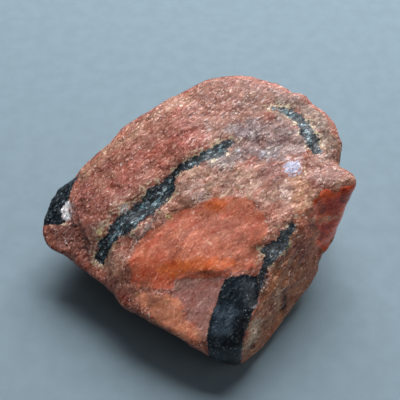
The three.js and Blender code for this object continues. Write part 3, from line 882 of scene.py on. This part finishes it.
def patched(g, colour, chance, edge):
    """The colour with its patches laid on, a little of it showing through between streaks."""
    show = g.ramp(g.noise(g.grain, size=1.4, roughness=0.6), 0.30, 0.52, to_low=0.75)
    for name, patch in {**PATCHES, **WALL_PATCHES}.items():
        distance = g.math("ADD", g.mark(name), edge)
        distance = g.math("ADD", distance, g.math("MULTIPLY", chance, patch.edge.scatter))
        inside = g.inside(distance, patch.edge.fade, patch.share)
        colour = g.mix(g.math("MULTIPLY", inside, show), colour, rgb(patch.colour))
    return colour


def tinted(g, colour):
    """The colour with its hue varied by stains, one after the other.

    The back, which has no patches of its own, gets two larger stains before them.
    """
    rear = g.ramp(g.mark("rear"), *REAR_FADE)
    for stains, share in ((REAR_STAINS, rear), (STAINS, 1.0)):
        for stain in stains:
            place = g.vector("ADD", g.grain, (9 * stain.size, 0, 0))
            spread = g.noise(place, stain.size, detail=3, roughness=0.6)
            amount = g.math("MULTIPLY", g.ramp(spread, stain.low, stain.high), share)
            colour = g.mix(amount, colour, (*stain.tint, 1.0), "MULTIPLY")
    return colour


def fringed(g, colour, chance):
    """The colour with pale grains here and there beside the dark veins."""
    beside = g.math("ADD", g.mark("dark"), g.math("MULTIPLY", chance, FRINGE_SCATTER))
    here = g.ramp(g.noise(g.mm, size=2.5), 0.42, 0.58, to_high=0.8)
    fringe = g.math("MULTIPLY", g.ramp(beside, *FRINGE_FADE), here)
    off_jet = g.ramp(g.mark("jet"), *FRINGE_BY_JET)
    return g.mix(g.math("MULTIPLY", fringe, off_jet), colour, rgb(FRINGE))


def seamed(g, colour, chance, edge):
    """The colour with its thin seams."""
    for name, seam in SEAMS.items():
        distance = g.math("ADD", g.mark(name), g.math("MULTIPLY", edge, SEAM_EDGE))
        distance = g.math("ADD", distance, g.math("MULTIPLY", chance, SEAM_SCATTER))
        share = g.ramp(distance, *SEAM_FADE, to_high=seam.share)
        colour = g.mix(share, colour, rgb(seam.colour))
    return colour


def sharded(g, colour):
    """The colour with the glassy corner broken into lighter and darker shards."""
    shade = g.ramp(g.channel(g.cells(g.mm, SHARD), "Red"), 0.1, 0.6, to_low=0.55)
    return g.mix(g.inside(g.mark("glass"), GLOSS_WIDTH), colour, shade, "MULTIPLY")


def spotted(g, colour, chance):
    """The colour with its small spots."""
    for name, spot in SPOTS.items():
        distance = g.math("ADD", g.mark(name), g.math("MULTIPLY", chance, SPOT_SCATTER))
        share = g.ramp(distance, *SPOT_FADE, to_high=SPOT_SHARE)
        colour = g.mix(share, colour, rgb(spot.colour))
    return colour


def rock_colour(g, grains):
    """The stone's colour without its dark veins: rust, with all that is laid on it."""
    chance = g.math("SUBTRACT", g.channel(grains, "Blue"), 0.5)
    edge = g.swing(g.noise(g.mm, size=0.7), PATCH_EDGE)
    on_wall = g.inside(g.mark("wall"), WALL_WIDTH, WALL_SHARE)
    colour = g.mix(on_wall, rgb(RUST), rgb(WALL_COLOUR))
    colour = patched(g, colour, chance, edge)
    colour = tinted(g, colour)
    colour = fringed(g, colour, chance)
    colour = seamed(g, colour, chance, edge)
    colour = sharded(g, colour)
    return spotted(g, colour, chance)


def facet_colour(g):
    """Smooth black with a bluer painted reflection of the sky and a blacker shade."""
    colour = rgb(JET)
    for name, (shade, _) in JET_SHADES.items():
        colour = g.mix(g.ramp(g.mark(name), *SHADE_FADE), colour, rgb(shade))
    return colour


def vein_colour(g, grains):
    """Black with slate-blue streaks and frosty flecks that are painted glints, paler at the core of
    a vein.
    """
    core = g.ramp(g.mark("dark"), *CORE_FADE, to_high=CORE_GAIN)
    streaks = g.math("ADD", g.noise(g.grain, size=1.3, detail=4, roughness=0.7), core)
    kept = g.ramp(g.mark("lower_vein"), *LOWER_VEIN_FADE, to_low=LOWER_VEIN_STREAKS)
    body = g.math("MULTIPLY", g.ramp(streaks, 0.56, 0.69), kept)
    colour = g.mix(body, rgb(INK), rgb(SLATE))
    luck = g.ramp(g.channel(grains, "Blue"), 0.60, 0.95)
    flecks = g.math("MULTIPLY", luck, g.ramp(body, 0.1, 0.8, to_low=0.05, to_high=0.8))
    colour = g.mix(flecks, colour, rgb(PAINTED_VEIN_GLINT))
    on_jet = g.ramp(g.mark("jet"), *JET_FADE, to_high=JET_SHARE)
    return g.mix(on_jet, colour, facet_colour(g))


def rarely_bright(g, luck):
    """An even chance from 0 to 1 made often a little dark and seldom bright, and 0 on average."""
    return g.math("SUBTRACT", g.math("POWER", luck, 3.0), 0.25)


def threads(g, size, width):
    """1 on hair-thin curling lines, 0 off them."""
    waver = g.math("SUBTRACT", g.noise(g.grain, size, roughness=0.6), 0.5)
    return g.ramp(g.math("ABSOLUTE", waver), width, 0.0)


def sparkle(g, grains, specks, strength):
    """How much paler single grains, specks and threads are than the rest, in clusters: partly their
    own colour, partly painted glints.
    """
    thread = g.math("SUBTRACT", threads(g, 1.7, 0.012), threads(g, 2.3, 0.010))
    change = 0.0
    for source, contrast in (
        (rarely_bright(g, g.channel(grains, "Red")), GRAIN_CONTRAST),
        (rarely_bright(g, g.channel(specks, "Red")), SPECK_CONTRAST),
        (thread, THREAD_CONTRAST),
    ):
        change = g.math("ADD", change, g.math("MULTIPLY", source, contrast))
    crowd = g.noise(g.mm, size=1.3, roughness=0.6)
    clusters = g.ramp(crowd, 0.36, 0.64, to_low=0.25, to_high=1.75)
    return g.math("MULTIPLY", g.math("MULTIPLY", change, strength), clusters)


def streaked(g, change):
    """The change in paleness with streaks, fibres and grit along the grain added."""
    fibres = g.vector("MULTIPLY", g.grain, (FIBRE_SQUEEZE, 1, 1))
    for source, contrast in (
        (g.noise(g.grain, size=1.6, detail=1, roughness=0.6), STREAK_CONTRAST),
        (g.noise(fibres, size=0.5, roughness=0.6), FIBRE_CONTRAST),
        (g.noise(g.grain, size=0.6, detail=3, roughness=0.7), GRIT_CONTRAST),
    ):
        change = g.math("ADD", g.swing(source, contrast), change)
    return change


def paler_to_the_eye(g, colour, amount):
    """The colour made paler or darker by an amount that counts as the eye sees it."""
    looks = g.node("Gamma", inputs={0: colour, 1: 1 / EYE})
    looks = g.vector("ADD", looks, amount)
    looks = g.vector("MAXIMUM", looks, (DARKEST, DARKEST, DARKEST))
    return g.node("Gamma", inputs={0: looks, 1: EYE})


def with_painted_glints(g, colour, in_vein, specks, strength):
    """The colour with painted glints: a few specks nearly white."""
    luck = g.ramp(g.channel(specks, "Green"), 0.93, 0.98, to_high=0.8)
    glints = g.math("MULTIPLY", luck, g.ramp(g.noise(g.mm, size=1.5), 0.4, 0.7))
    glints = g.math("MULTIPLY", glints, g.math("MULTIPLY", strength, strength))
    return g.mix(glints, colour, g.mix(in_vein, rgb(PAINTED_GLINT), rgb(PAINTED_VEIN_GLINT)))


def mottled(g, colour, in_vein, grains, strength):
    """The colour with its grains, streaks and glints."""
    specks = stone_grains(g, g.mm, SPECK)
    change = streaked(g, sparkle(g, grains, specks, strength))
    amount = g.math("MULTIPLY", g.math("MULTIPLY", change, strength), LUSTRE)
    colour = paler_to_the_eye(g, colour, amount)
    return with_painted_glints(g, colour, in_vein, specks, strength)


def vein_share(g):
    """1 in dark veins and patches, 0 outside them, with a ragged edge that facets have less of."""
    ragged = g.swing(g.noise(g.mm, size=0.9, detail=3, roughness=0.7), VEIN_EDGE)
    ragged = g.math("MULTIPLY", ragged, g.ramp(g.mark("jet"), *VEIN_CALM, to_low=0.35))
    return g.inside(g.math("ADD", g.mark("dark"), ragged), VEIN_WIDTH)


def stone_roughness(g, grains):
    """Dull rock with some shiny grains, glossier on the black facets and in the glassy corner."""
    luck = g.channel(grains, "Green")
    roughness = g.ramp(luck, 0.75, 1.0, ROCK_ROUGHNESS, GLINT_ROUGHNESS)
    in_glass = g.inside(g.mark("glass"), GLOSS_WIDTH)
    roughness = g.mix_numbers(in_glass, roughness, GLASS_ROUGHNESS)
    on_jet = g.inside(g.mark("jet"), GLOSS_WIDTH)
    return g.mix_numbers(on_jet, roughness, FACET_ROUGHNESS)


def stone_normal(g, grains, smooth):
    """The surface's direction, with each grain tilted its own way and a fine bump over all."""
    tilt = g.vector_swing(grains, g.ramp(smooth, 0.0, 1.0, ROCK_TILT, SMOOTH_TILT))
    normal = g.vector("ADD", g.node("NewGeometry", output="Normal"), tilt)
    normal = g.node("VectorMath", operation="NORMALIZE", inputs={0: normal})
    height = g.noise(g.mm, size=0.6, detail=3, roughness=0.6)
    bump = {"Strength": 0.2, "Distance": 0.15 * MM, "Height": height, "Normal": normal}
    return g.node("Bump", inputs=bump)


def stone_material():
    """Sugary rock: mottled and flecked, with small tilted grains that glint."""
    material = bpy.data.materials.new("triplite")
    g = Graph(material)
    grains = stone_grains(g, g.grain, GRAIN)
    smooth = 0.0
    for name in SMOOTH_FACES:
        smooth = g.math("MAXIMUM", g.inside(g.mark(name), SMOOTH_WIDTH), smooth)
    strength = g.ramp(smooth, 0.0, 1.0, 1.0, SMOOTH_STRENGTH)
    in_vein = vein_share(g)
    colour = g.mix(in_vein, rock_colour(g, grains), vein_colour(g, grains))
    g.connect(mottled(g, colour, in_vein, grains, strength), "Base Color")
    g.connect(stone_roughness(g, grains), "Roughness")
    g.connect(stone_normal(g, grains, smooth), "Normal")
    g.set("Specular IOR Level", 0.5)
    g.set("Subsurface Weight", 0.08)
    g.set("Subsurface Radius", (1.2, 0.5, 0.3))
    g.set("Subsurface Scale", 1.5 * MM)
    return material


def floor_material():
    """Plain pale blue-grey, with the faintest of mottling."""
    material = bpy.data.materials.new("floor")
    g = Graph(material)
    mottle = g.ramp(g.noise(g.mm, size=4.0, detail=4), 0.3, 0.7)
    darker = tuple(0.97 * part for part in FLOOR)
    g.connect(g.mix(mottle, rgb(darker), rgb(FLOOR)), "Base Color")
    g.set("Roughness", 0.95)
    g.set("Specular IOR Level", 0.1)
    return material


# ---------------------------------------------------------------- the setting

def make_camera():
    aim = Vector((np.array(AIM) + HEART_FOOT) * MM)
    back = Vector((0, -math.cos(CAMERA_ELEVATION), math.sin(CAMERA_ELEVATION)))
    camera = bpy.data.objects.new("camera", bpy.data.cameras.new("camera"))
    camera.data.sensor_width = SENSOR
    camera.data.lens = LENS
    camera.data.clip_start = 0.01
    camera.location = aim + back * CAMERA_DISTANCE * MM
    camera.rotation_euler = (-back).to_track_quat("-Z", "Y").to_euler()
    bpy.context.scene.collection.objects.link(camera)
    bpy.context.scene.camera = camera


def make_floor():
    bpy.ops.mesh.primitive_plane_add(size=FLOOR_SIZE)
    floor = bpy.context.active_object
    floor.name = "floor"
    floor.data.materials.append(floor_material())


def make_area_light(name, azimuth, elevation, distance, size, power, colour):
    """A square light aimed at the stone. Azimuth 0 is behind it and 90 to its right."""
    turn, rise = math.radians(azimuth), math.radians(elevation)
    behind = math.cos(turn) * math.cos(rise)
    away = Vector((math.sin(turn) * math.cos(rise), behind, math.sin(rise)))
    light = bpy.data.objects.new(name, bpy.data.lights.new(name, "AREA"))
    light.data.size = size
    light.data.energy = power
    light.data.color = colour
    light.location = away * distance
    light.rotation_euler = (-away).to_track_quat("-Z", "Y").to_euler()
    bpy.context.scene.collection.objects.link(light)


def make_room_light():
    world = bpy.data.worlds.new("room")
    world.use_nodes = True
    room = world.node_tree.nodes["Background"]
    room.inputs["Color"].default_value = ROOM_COLOUR
    room.inputs["Strength"].default_value = ROOM_STRENGTH
    bpy.context.scene.world = world


def make_light():
    make_area_light(
        "window", azimuth=13, elevation=49, distance=0.6, size=0.48, power=7.2,
        colour=(0.96, 0.98, 1.0),
    )
    make_area_light(
        "fill", azimuth=120, elevation=40, distance=0.9, size=0.7, power=0.9,
        colour=(1.0, 0.97, 0.94),
    )
    make_room_light()


def make_stone(frame):
    piece = fine_copy(frame["nodes"]["stone"])
    iron(piece)
    roughen(piece)
    piece.data.materials.clear()
    piece.data.materials.append(stone_material())
    piece.data.shade_smooth()
    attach(piece, "root")
    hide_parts("stone")


def main():
    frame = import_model()
    bpy.context.scene.view_settings.view_transform = "Standard"
    make_camera()
    make_floor()
    make_light()
    make_stone(frame)


main()
